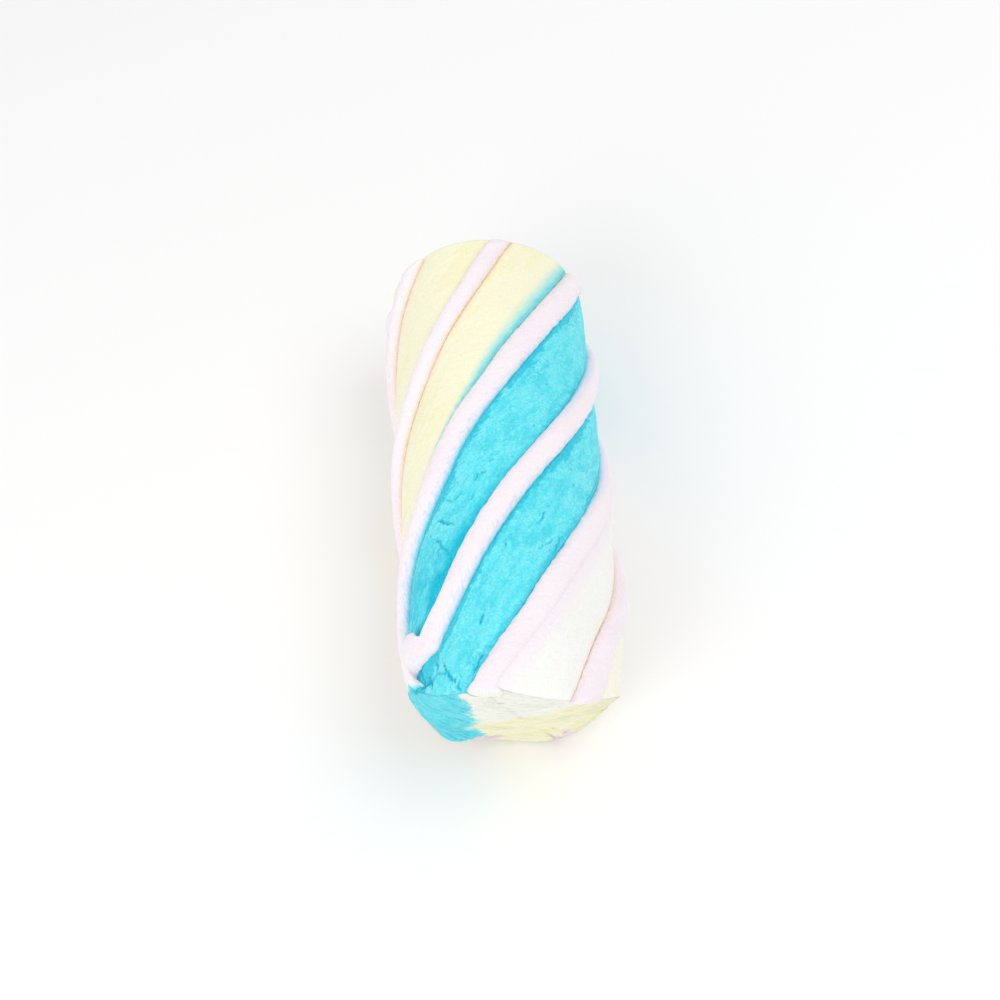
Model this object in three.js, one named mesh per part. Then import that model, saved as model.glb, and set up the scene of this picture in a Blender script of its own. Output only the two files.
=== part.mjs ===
// A twisted marshmallow, lying on its side: three thick coloured strands make a round core,
// and seven thin pink ropes are wound round it, each in its own groove. The far end is along +Y,
// the side that is shown is up, and the table is z = 0.
//
// Every piece is drawn as a straight prism first. A section is a list of points [radius, angle]
// about the sweet's own axis, with the angle in degrees from the top towards +X, as it is at the
// near end. sweetPoint() then cuts the ends, lets the ropes wander, twists, bends and presses all
// the prisms alike, so the pieces keep fitting each other.
import * as THREE from "three";
import { LoftGeometry } from "three/addons/geometries/LoftGeometry.js";

// The whole sweet, in millimetres and degrees.
const LENGTH = 64;
const CREST_RADIUS = 15;
const TWIST = 186;
const BEND = 5.8;
const PRESSED = 1.3;

// The core, how far its stripes swell between the grooves, and the gap that pieces keep.
const CORE_RADIUS = 13.4;
const CROWN = 0.4;
const CROWN_FULLNESS = 0.8;
const GAP = 0.3;

// The cut ends: how far the face swells, how round its rim is, and how the cut waves in and out
// towards the rim. A wave is how often it comes in one turn, and how far it stands back at the
// top and towards +X, in millimetres at the crests. The ropes stop a little short of the core.
const FACE_SWELL = 1.1;
const nearEnd = {
  rim: 2.6,
  waves: [
    [0, 0.4, 0],
    [1, -1.75, -0.7],
    [2, -1.5, -0.6],
    [3, -0.35, -0.2],
    [4, 0.95, -0.6],
  ],
};
const farEnd = { rim: 2.7, waves: [[1, -1.3, 0.7]] };
const ROPE_SETBACK = 0.4;

// The +X side is drawn in a little towards the near end, where the blade squeezed it.
const DRAWN_IN = 1.1;
const DRAWN_LENGTH = 11;

// How finely the pieces are drawn.
const STATIONS = 24;
const ROPE_SIDES = 8;
const GROOVE_STEPS = 6;
const STRIPE_STEPS = 6;
const SIDE_STEPS = 5;
const CORE_CAP_SCALES = [0.3, 0.62, 0.86, 0.96];
const ROPE_CAP_SCALES = [0.45, 0.85];

// Two strands meet in the groove under a rope, this share of its half width either side of the
// middle, and a strand's own middle is this share of the core's radius from the axis.
const SEAM_SHARE = 0.12;
const STRAND_MIDDLE = 0.56;

// The ropes in their order round the core. Each leaves the near end at an angle, and wanders from
// its even helix by so many degrees at nine even places from the near end to the far one. Its
// widths are given at the near end, half way and the far end. The crests stand at CREST_RADIUS,
// or lower by what is in sunk.
const ROPE_THICKNESS = 2.8;
const ropes = [
  {
    name: "pink_rope_1",
    angle: -118,
    widths: [3.2, 4.2, 4.6],
    sunk: 0,
    wander: [-7, -4.6, -5.8, -1.9, -3.1, -0.7, 0.1, 1.3, 1.7],
  },
  {
    name: "pink_rope_2",
    angle: -64,
    widths: [3.6, 4.1, 3],
    sunk: 0,
    wander: [-8, -1.9, -2.6, -1.6, 1.9, 3.8, 2.8, 1.6, 0.3],
  },
  {
    name: "pink_rope_3",
    angle: -9,
    widths: [5.2, 4.6, 4.2],
    sunk: 0.2,
    wander: [-3.3, 0, 0.1, 1.5, 2.1, -2.7, -3.6, -3, -2.1],
  },
  {
    name: "pink_rope_4",
    angle: 37,
    widths: [4, 4.7, 3.7],
    sunk: 0,
    wander: [7.1, 2.9, 4.3, 3.6, 2.4, 1.3, 0.5, -0.1, -0.6],
  },
  {
    name: "pink_rope_5",
    angle: 85,
    widths: [3.2, 3.2, 3.2],
    sunk: 0.1,
    wander: [17, 7.6, 1, 0, -1, -3, -4, -4, -2],
  },
  {
    name: "pink_rope_6",
    angle: 132,
    widths: [3, 3, 3],
    sunk: 0,
    wander: [21, 9, 2, -2.7, -5.2, -8, -10, -8.7, -4.3],
  },
  {
    name: "pink_rope_7",
    angle: 188,
    widths: [2.8, 3, 3],
    sunk: 0,
    wander: [22, 9, -2, -7, -8.5, -3.5, -3.3, -2.6, -5],
  },
];

// The core's strands: each runs from under one rope to under another, counted in ropes.
const strands = [
  { name: "cyan_strand", from: 0, gaps: 2, material: "cyan" },
  { name: "white_strand", from: 2, gaps: 2, material: "white" },
  { name: "yellow_strand", from: 4, gaps: 3, material: "yellow" },
];

const materials = {
  cyan: new THREE.MeshStandardMaterial({ color: 0x55dff2, roughness: 0.85, metalness: 0 }),
  white: new THREE.MeshStandardMaterial({ color: 0xfbfbf8, roughness: 0.85, metalness: 0 }),
  yellow: new THREE.MeshStandardMaterial({ color: 0xfdf8d4, roughness: 0.85, metalness: 0 }),
  pink: new THREE.MeshStandardMaterial({ color: 0xf9e6ef, roughness: 0.85, metalness: 0 }),
};

const radians = THREE.MathUtils.degToRad;
const degrees = THREE.MathUtils.radToDeg;

// The arch of the bent axis drops both ends by this much, and the table cuts in a little.
const BEND_RADIUS = LENGTH / radians(BEND);
const END_DROP = BEND_RADIUS * (1 - Math.cos(radians(BEND / 2)));
const TABLE = -(CREST_RADIUS + END_DROP - PRESSED);

// How far a cut face stands back from a flat and square one, at a radius and an angle. The waves
// die out towards the axis, the quicker the more of them there are, as in a stretched skin.
function faceSetback(radius, angle, { rim, waves }) {
  const intoRim = Math.max(0, radius - (CREST_RADIUS - rim));
  const rounding = rim - Math.sqrt(rim ** 2 - Math.min(intoRim, rim) ** 2);
  const outward = radius / CREST_RADIUS;
  let setback = rounding - FACE_SWELL * (1 - outward ** 2);
  for (const [count, up, across] of waves) {
    const turn = count * radians(angle);
    setback += outward ** count * (up * Math.cos(turn) + across * Math.sin(turn));
  }
  return setback;
}

// A smooth course through evenly spaced values, at a share of the whole length.
function smoothValue(values, share) {
  const course = new THREE.SplineCurve(values.map((value, i) => new THREE.Vector2(i, value)));
  return course.getPoint(share).y;
}

// A rope's section is drawn at its narrowest, and the wander stretches it where it is wider.
function drawnWidth(rope) {
  return Math.min(...rope.widths);
}

function grooveHalfAngle(rope) {
  const middle = CREST_RADIUS - rope.sunk - ROPE_THICKNESS / 2;
  return degrees((drawnWidth(rope) / 2 + GAP) / middle);
}

// How many degrees a rope carries a point with it that is an offset away from its middle.
function carriedByRope(rope, offset, share) {
  const stretch = smoothValue(rope.widths, share) / drawnWidth(rope);
  return smoothValue(rope.wander, share) + offset * (stretch - 1);
}

// The same for any point: a stripe between two ropes is carried by both of their edges.
function carried(angle, share) {
  const firstAngle = ropes[0].angle;
  const turned = THREE.MathUtils.euclideanModulo(angle - firstAngle, 360) + firstAngle;
  const place = ropes.findLastIndex((rope) => rope.angle <= turned);
  const rope = ropes[place];
  const next = ropes[(place + 1) % ropes.length];
  const nextAngle = place + 1 === ropes.length ? next.angle + 360 : next.angle;
  const fromRope = turned - rope.angle;
  const toNext = nextAngle - turned;
  const edge = grooveHalfAngle(rope);
  const nextEdge = grooveHalfAngle(next);
  if (fromRope <= edge) return carriedByRope(rope, fromRope, share);
  if (toNext <= nextEdge) return carriedByRope(next, -toNext, share);
  const across = (fromRope - edge) / (fromRope + toNext - edge - nextEdge);
  const carriedHere = carriedByRope(rope, edge, share);
  return THREE.MathUtils.lerp(carriedHere, carriedByRope(next, -nextEdge, share), across);
}

// A point of a straight prism, moved to its place in the finished sweet.
function sweetPoint([radius, angle], along) {
  const near = faceSetback(radius, angle, nearEnd);
  const far = LENGTH - faceSetback(radius, angle + TWIST, farEnd);
  const distance = THREE.MathUtils.lerp(near, far, along / LENGTH);
  const wandered = angle + carried(angle, along / LENGTH);
  const turned = radians(wandered + (TWIST * distance) / LENGTH);
  const tilt = distance / BEND_RADIUS - radians(BEND / 2);
  const drawn = DRAWN_IN * (1 - THREE.MathUtils.smoothstep(distance, 0, DRAWN_LENGTH));
  const towardsX = Math.max(0, Math.sin(turned));
  const reach = radius * (1 - (drawn / CREST_RADIUS) * towardsX ** 2);
  const up = reach * Math.cos(turned);
  const height = BEND_RADIUS * (Math.cos(tilt) - 1) + up * Math.cos(tilt);
  return new THREE.Vector3(
    reach * Math.sin(turned),
    (BEND_RADIUS + up) * Math.sin(tilt),
    Math.max(height, TABLE) - TABLE,
  );
}

// A rope's section, which is an ellipse lying in the core's surface.
function ropeSection(rope) {
  const middle = CREST_RADIUS - rope.sunk - ROPE_THICKNESS / 2;
  const points = [];
  for (let i = 0; i < ROPE_SIDES; i++) {
    const turn = (2 * Math.PI * (i + 0.5)) / ROPE_SIDES;
    const sideways = (drawnWidth(rope) / 2) * Math.cos(turn);
    const outwards = (ROPE_THICKNESS / 2) * Math.sin(turn);
    points.push([middle + outwards, rope.angle - degrees(sideways / middle)]);
  }
  return points;
}

// The floor of a rope's groove, from a share of its half width on one side to the other.
function groove(rope, turn, firstShare, lastShare, steps) {
  const middle = CREST_RADIUS - rope.sunk - ROPE_THICKNESS / 2;
  const points = [];
  for (let i = 0; i <= steps; i++) {
    const share = firstShare + ((lastShare - firstShare) * i) / steps;
    const lean = Math.asin(share);
    const depth = (ROPE_THICKNESS / 2 + GAP) * Math.cos(lean);
    const sideways = (drawnWidth(rope) / 2 + GAP) * share;
    const radius = Math.min(middle - depth, CORE_RADIUS);
    points.push([radius, rope.angle + turn + degrees(sideways / middle)]);
  }
  return points;
}

// The stripe of bare core between two grooves, which swells a little in the middle.
function stripe(fromAngle, toAngle) {
  const points = [];
  for (let i = 1; i < STRIPE_STEPS; i++) {
    const share = i / STRIPE_STEPS;
    const swell = CROWN * Math.sin(Math.PI * share) ** CROWN_FULLNESS;
    points.push([CORE_RADIUS + swell, THREE.MathUtils.lerp(fromAngle, toAngle, share)]);
  }
  return points;
}

// A flat side of a strand, from the axis outwards, half a gap away from its neighbour.
function strandSide(angle, way, toRadius) {
  const points = [];
  for (let i = 1; i < SIDE_STEPS; i++) {
    const radius = (toRadius * i) / SIDE_STEPS;
    points.push([radius, angle + way * degrees(Math.asin(GAP / 2 / radius))]);
  }
  return points;
}

// The section of a strand: up one side, over its stripes and grooves, and down the other.
function strandSection(strand) {
  const around = Array.from({ length: strand.gaps + 1 }, (_, i) => {
    const place = strand.from + i;
    return { rope: ropes[place % ropes.length], turn: place >= ropes.length ? 360 : 0 };
  });
  const first = around[0];
  const last = around[strand.gaps];
  const halfSteps = GROOVE_STEPS / 2;
  let outer = groove(first.rope, first.turn, SEAM_SHARE, 1, halfSteps);
  for (const { rope, turn } of around.slice(1, -1)) {
    outer = joined(outer, groove(rope, turn, -1, 1, GROOVE_STEPS));
  }
  outer = joined(outer, groove(last.rope, last.turn, -1, -SEAM_SHARE, halfSteps));
  const firstAngle = first.rope.angle + first.turn;
  const lastAngle = last.rope.angle + last.turn;
  const halfWidth = radians((lastAngle - firstAngle) / 2);
  const tip = [GAP / 2 / Math.sin(halfWidth), (firstAngle + lastAngle) / 2];
  const risingSide = strandSide(firstAngle, 1, outer[0][0]);
  const fallingSide = strandSide(lastAngle, -1, outer[outer.length - 1][0]).reverse();
  return [tip, ...risingSide, ...outer, ...fallingSide];
}

// A row of points, then the stripe up to the next groove, then that groove.
function joined(points, nextGroove) {
  const lastAngle = points[points.length - 1][1];
  return [...points, ...stripe(lastAngle, nextGroove[0][1]), ...nextGroove];
}

// The same section, shrunk towards a point inside it.
function shrunk(section, [centreRadius, centreAngle], scale) {
  const centre = polar(centreRadius, centreAngle);
  return section.map(([radius, angle]) => {
    const point = polar(radius, angle).lerp(centre, 1 - scale);
    const turned = degrees(Math.atan2(point.x, point.y));
    return [point.length(), centreAngle + wrapped(turned - centreAngle)];
  });
}

function polar(radius, angle) {
  return new THREE.Vector2(radius * Math.sin(radians(angle)), radius * Math.cos(radians(angle)));
}

function wrapped(angle) {
  return THREE.MathUtils.euclideanModulo(angle + 180, 360) - 180;
}

// A closed solid: the section runs from end to end, and shrinks in rings over both cut faces.
function pieceGeometry(section, centre, setback, capScales) {
  const rings = capScales.map((scale) => [setback, scale]);
  for (let i = 0; i <= STATIONS; i++) {
    rings.push([THREE.MathUtils.lerp(setback, LENGTH - setback, i / STATIONS), 1]);
  }
  for (const scale of [...capScales].reverse()) {
    rings.push([LENGTH - setback, scale]);
  }
  const loops = rings.map(([along, scale]) =>
    shrunk(section, centre, scale).map((point) => sweetPoint(point, along)),
  );
  return new LoftGeometry(loops, { capStart: true, capEnd: true });
}

function buildStrand(strand) {
  const section = strandSection(strand);
  const centre = [CORE_RADIUS * STRAND_MIDDLE, section[0][1]];
  const geometry = pieceGeometry(section, centre, 0, CORE_CAP_SCALES);
  const mesh = new THREE.Mesh(geometry, materials[strand.material]);
  mesh.name = strand.name;
  return mesh;
}

function buildRope(rope) {
  const centre = [CREST_RADIUS - rope.sunk - ROPE_THICKNESS / 2, rope.angle];
  const geometry = pieceGeometry(ropeSection(rope), centre, ROPE_SETBACK, ROPE_CAP_SCALES);
  const mesh = new THREE.Mesh(geometry, materials.pink);
  mesh.name = rope.name;
  return mesh;
}

const marshmallow = new THREE.Group();
marshmallow.add(...strands.map(buildStrand), ...ropes.map(buildRope));

// The uneven cuts put the middle of the length a little off the origin, so it is moved there.
const middle = new THREE.Box3().setFromObject(marshmallow).getCenter(new THREE.Vector3());
marshmallow.position.set(-middle.x, -middle.y, 0);

export default marshmallow;
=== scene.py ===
# %% [markdown]
# # A twisted marshmallow
#
# This lesson dresses a soft sweet: three thick strands of coloured foam that were pressed
# together into a rod, twisted by half a turn, and wound with thin pink ropes. It lies on its
# side, with the side that is shown up.
#
# The imported model gives the sizes. It is loaded first. The dressed sweet has to stay
# inside it.

# %% Load the frame
import math

import bmesh
import bpy
import numpy as np
from mathutils import Matrix, Vector, noise


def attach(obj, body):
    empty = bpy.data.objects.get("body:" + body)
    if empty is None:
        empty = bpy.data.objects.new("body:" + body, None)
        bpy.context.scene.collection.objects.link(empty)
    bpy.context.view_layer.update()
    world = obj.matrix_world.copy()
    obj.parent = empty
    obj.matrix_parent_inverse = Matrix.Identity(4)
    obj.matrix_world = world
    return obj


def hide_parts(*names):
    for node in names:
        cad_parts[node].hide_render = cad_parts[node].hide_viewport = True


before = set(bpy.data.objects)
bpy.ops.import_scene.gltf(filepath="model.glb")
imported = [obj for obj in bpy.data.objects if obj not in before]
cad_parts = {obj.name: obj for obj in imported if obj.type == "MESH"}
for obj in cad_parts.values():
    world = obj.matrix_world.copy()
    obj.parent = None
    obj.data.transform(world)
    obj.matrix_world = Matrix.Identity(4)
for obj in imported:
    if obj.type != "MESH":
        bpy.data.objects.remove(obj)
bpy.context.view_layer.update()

# %% [markdown]
# ## The camera
#
# The photograph looks down on the sweet from the near end, and it was fitted to the ropes and
# the outline: 58.7 degrees above the table, leaning by a few degrees, with a lens of 56 mm.
# The camera is made first, so that every step can be looked at from the right place.

# %% The camera
CAMERA_PLACE = (-0.00041, -0.10950, 0.19405)
CAMERA_TURN = (31.246, 2.557, -4.205)

lens = bpy.data.cameras.new("camera")
lens.lens = 56.14
lens.clip_start = 0.01
camera = bpy.data.objects.new("camera", lens)
camera.location = CAMERA_PLACE
camera.rotation_euler = [math.radians(angle) for angle in CAMERA_TURN]
bpy.context.scene.collection.objects.link(camera)
bpy.context.scene.camera = camera
print("camera", lens.lens, "mm at", CAMERA_PLACE)

# %% [markdown]
# ## The measures of the sweet
#
# All sizes are in millimetres and degrees, and become metres at the very end. The strands and
# the ropes are drawn straight, as they leave the nozzle, and are only then twisted and bent.
# So every point has a simple address: how far it is from the axis, at what angle round it,
# from the top towards +X, and how far along.

# %% Measures
LENGTH = 64.0
CREST_RADIUS = 15.0
CORE_RADIUS = 13.4
TWIST = 186.0
BEND = 5.8
PRESSED = 1.3
MIDDLE_Y = 0.8328

BEND_RADIUS = LENGTH / math.radians(BEND)
END_DROP = BEND_RADIUS * (1 - math.cos(math.radians(BEND / 2)))
TABLE = -(CREST_RADIUS + END_DROP - PRESSED)

STEP = 0.2
STATIONS = round(LENGTH / STEP)
print("stations along the sweet:", STATIONS)

# %% [markdown]
# ## The seven ropes
#
# Hand-fed foam never twists quite evenly. Each rope leaves the near end at its own angle, and
# drifts some degrees to one side and back: its wander is given at nine places from the near
# end to the far one. Its width is given at the near end, half way and at the far end. Read
# from the photograph, these numbers are what makes the twist look hand made.

# %% The seven ropes
ROPE_THICKNESS = 2.8
ROPES = [
    dict(angle=-118, sunk=0.0, widths=[3.2, 4.2, 4.6],
         wander=[-7.0, -4.6, -5.8, -1.9, -3.1, -0.7, 0.1, 1.3, 1.7]),
    dict(angle=-64, sunk=0.0, widths=[3.6, 4.1, 3.0],
         wander=[-8.0, -1.9, -2.6, -1.6, 1.9, 3.8, 2.8, 1.6, 0.3]),
    dict(angle=-9, sunk=0.2, widths=[5.2, 4.6, 4.2],
         wander=[-3.3, 0.0, 0.1, 1.5, 2.1, -2.7, -3.6, -3.0, -2.1]),
    dict(angle=37, sunk=0.0, widths=[4.0, 4.7, 3.7],
         wander=[7.1, 2.9, 4.3, 3.6, 2.4, 1.3, 0.5, -0.1, -0.6]),
    dict(angle=85, sunk=0.1, widths=[3.2, 3.2, 3.2],
         wander=[17.0, 7.6, 1.0, 0.0, -1.0, -3.0, -4.0, -4.0, -2.0]),
    dict(angle=132, sunk=0.0, widths=[3.0, 3.0, 3.0],
         wander=[21.0, 9.0, 2.0, -2.7, -5.2, -8.0, -10.0, -8.7, -4.3]),
    dict(angle=188, sunk=0.0, widths=[2.8, 3.0, 3.0],
         wander=[22.0, 9.0, -2.0, -7.0, -8.5, -3.5, -3.3, -2.6, -5.0]),
]
GROOVE_GAP = -0.06

# once round, with the first rope again at the end
ROUND = ROPES + [dict(ROPES[0], angle=ROPES[0]["angle"] + 360)]
ANGLES = np.array([rope["angle"] for rope in ROUND], float)
WIDTHS = np.array([min(rope["widths"]) for rope in ROUND])
MIDDLES = np.array([CREST_RADIUS - rope["sunk"] - ROPE_THICKNESS / 2 for rope in ROUND])
EDGES = np.degrees((WIDTHS / 2 + GROOVE_GAP) / MIDDLES)
print("the ropes start at", ANGLES[:7], "degrees, drawn", WIDTHS[:7], "mm wide")

# %% [markdown]
# ## How the ropes carry the core
#
# The core is stuck to the ropes, so it drifts along. A section is drawn at each rope's
# narrowest. A rope carries the points near it with its wander, and spreads them where it is
# wider, and the stripe between two ropes is stretched between their edges.

# %% How the ropes carry the core
ARC = math.radians(1) * CORE_RADIUS


def smoothstep(low, high, value):
    share = np.clip((value - low) / (high - low), 0.0, 1.0)
    return share * share * (3.0 - 2.0 * share)


def through(values, share):
    """A smooth course through evenly spaced values, at a share of the whole length."""
    padded = np.array([values[0], *values, values[-1]])
    place = np.clip(share, 0.0, 1.0) * (len(values) - 1)
    first = np.minimum(place.astype(int), len(values) - 2)
    t = place - first
    before, start, end, after = (padded[first + i] for i in range(4))
    slope_in, slope_out = (end - before) / 2, (after - start) / 2
    return (start + slope_in * t + (3 * (end - start) - 2 * slope_in - slope_out) * t ** 2
            + (2 * (start - end) + slope_in + slope_out) * t ** 3)


class Around:
    """Where points lie between two ropes, and how the wander carries them."""

    def __init__(self, angle, along):
        turned = (angle - ANGLES[0]) % 360.0 + ANGLES[0]
        self.rope = np.clip(np.searchsorted(ANGLES, turned, side="right") - 1, 0, 6)
        self.next = self.rope + 1
        from_rope, to_next = turned - ANGLES[self.rope], ANGLES[self.next] - turned
        share = along / LENGTH
        wander = np.array([through(rope["wander"], share) for rope in ROUND])
        wider = np.array([through(rope["widths"], share) for rope in ROUND]) / WIDTHS[:, None] - 1
        here = np.arange(len(angle))
        edge, next_edge = EDGES[self.rope], EDGES[self.next]
        wander_here, wider_here = wander[self.rope, here], wider[self.rope, here]
        wander_next, wider_next = wander[self.next, here], wider[self.next, here]
        start = wander_here + edge * wider_here
        end = wander_next - next_edge * wider_next
        stripe = from_rope + to_next - edge - next_edge
        across = (from_rope - edge) / stripe
        self.carried = np.select(
            [from_rope <= edge, to_next <= next_edge],
            [wander_here + from_rope * wider_here, wander_next - to_next * wider_next],
            start + (end - start) * across)
        # millimetres from the edges of the two ropes
        stretch = (stripe + end - start) / stripe * ARC
        self.after = (from_rope - edge) * stretch
        self.before = (to_next - next_edge) * stretch
        self.share = np.clip(across, 0.0, 1.0)


half_way = Around(ANGLES[:7], np.full(7, LENGTH / 2))
print("half way, the ropes have wandered by", half_way.carried.round(1), "degrees")

# %% [markdown]
# ## From straight to twisted
#
# One function moves every point of every piece: it cuts the two ends, lets the ropes wander,
# twists everything, bends it very slightly, and presses its underside flat on the table.
# Blender has Simple Deform modifiers for twisting and bending, but then each piece would need
# the same stack, and the cut ends could not follow. A shared function keeps the pieces
# fitting each other. The near cut isn't flat: measured on the photograph, its rim stands
# forward at the top and back at both sides. It is made of waves that die out towards the axis,
# like a stretched skin. The rim is crisp at the top, where the blade came down, and rounder
# at both sides, and the right side is drawn in a little where the blade squeezed it.

# %% From straight to twisted
FACE_SWELL = 1.1
# how often a wave comes in one turn, and how far it stands back at the top and towards +X
NEAR_WAVES = [(0, 0.4, 0.0), (1, -1.75, -0.7), (2, -1.5, -0.6), (3, -0.35, -0.2), (4, 0.95, -0.6)]
FAR_WAVES = [(1, -1.3, 0.7)]
DRAWN_IN = 1.1
DRAWN_LENGTH = 11.0


def face_setback(radius, angle, rim, waves):
    """How far a cut face stands back from a flat and square one."""
    into_rim = np.clip(radius - (CREST_RADIUS - rim), 0.0, rim)
    setback = rim - np.sqrt(rim ** 2 - into_rim ** 2)
    outward = radius / CREST_RADIUS
    setback -= FACE_SWELL * (1 - outward ** 2)
    for count, up, across in waves:
        turn = count * np.radians(angle)
        setback += outward ** count * (up * np.cos(turn) + across * np.sin(turn))
    return setback


def sweet_place(radius, angle, along):
    """The place of straight addresses in the finished sweet, in metres."""
    from_top = np.cos(np.radians(angle - 10))
    near_rim = 1.2 + 3.0 * smoothstep(0.9, 0.3, from_top) - 1.1 * smoothstep(-0.3, -0.9, from_top)
    near = face_setback(radius, angle, near_rim, NEAR_WAVES)
    far = LENGTH - face_setback(radius, angle + TWIST, 2.4, FAR_WAVES)
    distance = near + (far - near) * along / LENGTH
    turned = np.radians(angle + Around(angle, along).carried + TWIST * distance / LENGTH)
    tilt = distance / BEND_RADIUS - math.radians(BEND / 2)
    drawn = DRAWN_IN * (1 - smoothstep(0.0, DRAWN_LENGTH, distance))
    radius = radius * (1 - drawn / CREST_RADIUS * np.clip(np.sin(turned), 0, 1) ** 2)
    up = radius * np.cos(turned)
    height = BEND_RADIUS * (np.cos(tilt) - 1) + up * np.cos(tilt)
    x = radius * np.sin(turned)
    y = (BEND_RADIUS + up) * np.sin(tilt) + MIDDLE_Y
    z = np.maximum(height, TABLE) - TABLE
    return np.stack([x, y, z], axis=1) / 1000


corner = sweet_place(np.array([CREST_RADIUS]), np.array([0.0]), np.array([0.0]))
print("top of the near rim, in metres:", corner.round(4))

# %% [markdown]
# ## The outline of the core
#
# Seen from the end, the core is a circle with a groove under each rope. The foam between two
# grooves is a stripe, which swells towards its middle and rolls over quickly at both edges.
# Beside the widest rope the white foam has flowed over the pink, so that stripe starts high up
# on the rope and slopes down, and no crease shows there.

# %% The outline of the core
CROWN = 0.40
CROWN_FULLNESS = 0.4
FUSED_ROPE = 2
FUSED_FROM = 0.46
FUSED_RISE = 0.90
HIDDEN_SHARE = 0.05


def core_outline(angle):
    """The core's radius at an angle, over stripes and grooves."""
    around = Around(angle, np.zeros(len(angle)))
    outline = CORE_RADIUS + CROWN * np.sin(math.pi * around.share) ** CROWN_FULLNESS
    turned = (angle - ANGLES[0]) % 360.0 + ANGLES[0]
    for rope in (around.rope, around.next):
        lean = np.clip(np.abs(turned - ANGLES[rope]) / EDGES[rope], 0.0, 1.0)
        floor = MIDDLES[rope] - (ROPE_THICKNESS / 2 + GROOVE_GAP) * np.sqrt(1 - lean ** 2)
        outline = np.where(lean < 1, np.minimum(floor, outline), outline)
    # the foam that has flowed over the right side of the widest rope, from just under its surface
    start = ANGLES[FUSED_ROPE] + FUSED_FROM * EDGES[FUSED_ROPE]
    end = ANGLES[FUSED_ROPE + 1] - 2.0 * EDGES[FUSED_ROPE + 1]
    share = (turned - start) / (end - start)
    over = np.clip(share, -HIDDEN_SHARE, 1.0)
    slope = CORE_RADIUS + CROWN + FUSED_RISE * (1 - over) ** 2.2 + 1.7 * np.minimum(over, 0.0)
    return np.where((share >= -HIDDEN_SHARE) & (share < 1), slope, outline)


around = np.arange(-180.0, 180.0, 0.5)
print("core outline from", core_outline(around).min().round(2), "to",
      core_outline(around).max().round(2), "mm")

# %% [markdown]
# ## A slice of the core
#
# Each strand is a slice of that round core, as of a cake. A filled circle is cut twice with
# Bisect, which leaves the slice, and once its face is deleted its two straight sides are
# subdivided. Then every point moves out or in, so that the slice takes the core's outline.
# Cutting slices from one and the same circle puts the points of two neighbours in the same
# places, so they meet without a seam.

# %% A slice of the core
AROUND = 420
SIDE_CUTS = 16


def direction(angle):
    return Vector((math.sin(math.radians(angle)), 0.0, math.cos(math.radians(angle))))


def core_slice(first_angle, last_angle):
    bm = bmesh.new()
    bmesh.ops.create_circle(bm, cap_ends=True, radius=CORE_RADIUS, segments=AROUND)
    upright = Matrix.Rotation(math.pi / 2, 3, "X")
    bmesh.ops.rotate(bm, verts=bm.verts, cent=(0, 0, 0), matrix=upright)
    for outside in (direction(first_angle - 90), direction(last_angle + 90)):
        everything = bm.verts[:] + bm.edges[:] + bm.faces[:]
        bmesh.ops.bisect_plane(bm, geom=everything, plane_co=(0, 0, 0), plane_no=outside,
                               clear_outer=True)
    bmesh.ops.delete(bm, geom=bm.faces[:], context="FACES_ONLY")
    sides = [edge for edge in bm.edges if edge.calc_length() > CORE_RADIUS / 2]
    bmesh.ops.subdivide_edges(bm, edges=sides, cuts=SIDE_CUTS)
    angles = np.array([math.degrees(math.atan2(vert.co.x, vert.co.z)) for vert in bm.verts])
    for vert, radius in zip(bm.verts, core_outline(angles)):
        vert.co *= radius / CORE_RADIUS
    return bm


trial = core_slice(ANGLES[0], ANGLES[2])
print("the cyan slice has", len(trial.verts), "points and", len(trial.edges), "edges")
trial.free()

# %% [markdown]
# ## From a section to a strand
#
# The section is extruded once, from the near end to the far one. Both ends are closed with
# rings: the outline is extruded onto itself and scaled towards the middle of the section,
# again and again, and the smallest ring is merged to a point. Only then are the long edges
# subdivided, all at once, because operators are quickest on a small mesh. The rings make the
# cut faces as fine as the sides, so both can carry wrinkles. A layer called inward remembers
# how far in each ring is. The edges between a cut face and the hidden inner sides are marked
# sharp, or the shading would bend there, and the joints would show on the cut.

# %% From a section to a strand
def extruded_ring(bm, ring):
    """Extrude a ring of edges onto itself, and give the new points and edges."""
    made = bmesh.ops.extrude_edge_only(bm, edges=ring)["geom"]
    verts = [item for item in made if isinstance(item, bmesh.types.BMVert)]
    fresh = set(verts)
    edges = [item for item in made if isinstance(item, bmesh.types.BMEdge)
             and item.verts[0] in fresh and item.verts[1] in fresh]
    return verts, edges


def close_end(bm, ring, middle, rings):
    inward = bm.verts.layers.float["inward"]
    for number in range(1, rings):
        verts, ring = extruded_ring(bm, ring)
        scale = (rings - number) / (rings - number + 1)
        bmesh.ops.scale(bm, vec=(scale, 1, scale), space=Matrix.Translation(-middle), verts=verts)
        for vert in verts:
            vert[inward] = number / rings
    bmesh.ops.pointmerge(bm, verts=verts, merge_co=middle)


def swept(bm, middle, rings):
    """Turn a section into a closed straight piece as long as the sweet."""
    bm.verts.layers.float.new("inward")
    near_ring = bm.edges[:]
    verts, far_ring = extruded_ring(bm, near_ring)
    bmesh.ops.translate(bm, verts=verts, vec=(0, LENGTH, 0))
    close_end(bm, near_ring, middle, rings)
    close_end(bm, far_ring, middle + Vector((0, LENGTH, 0)), rings)
    long_edges = [edge for edge in bm.edges
                  if abs(edge.verts[0].co.y - edge.verts[1].co.y) > LENGTH / 2]
    bmesh.ops.subdivide_edges(bm, edges=long_edges, cuts=STATIONS - 1)
    bmesh.ops.recalc_face_normals(bm, faces=bm.faces[:])
    for edge in near_ring + far_ring:
        inner_side = min(vert.co.length_squared - vert.co.y ** 2 for vert in edge.verts)
        edge.smooth = inner_side > 0.7 * CORE_RADIUS ** 2
    return bm


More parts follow.
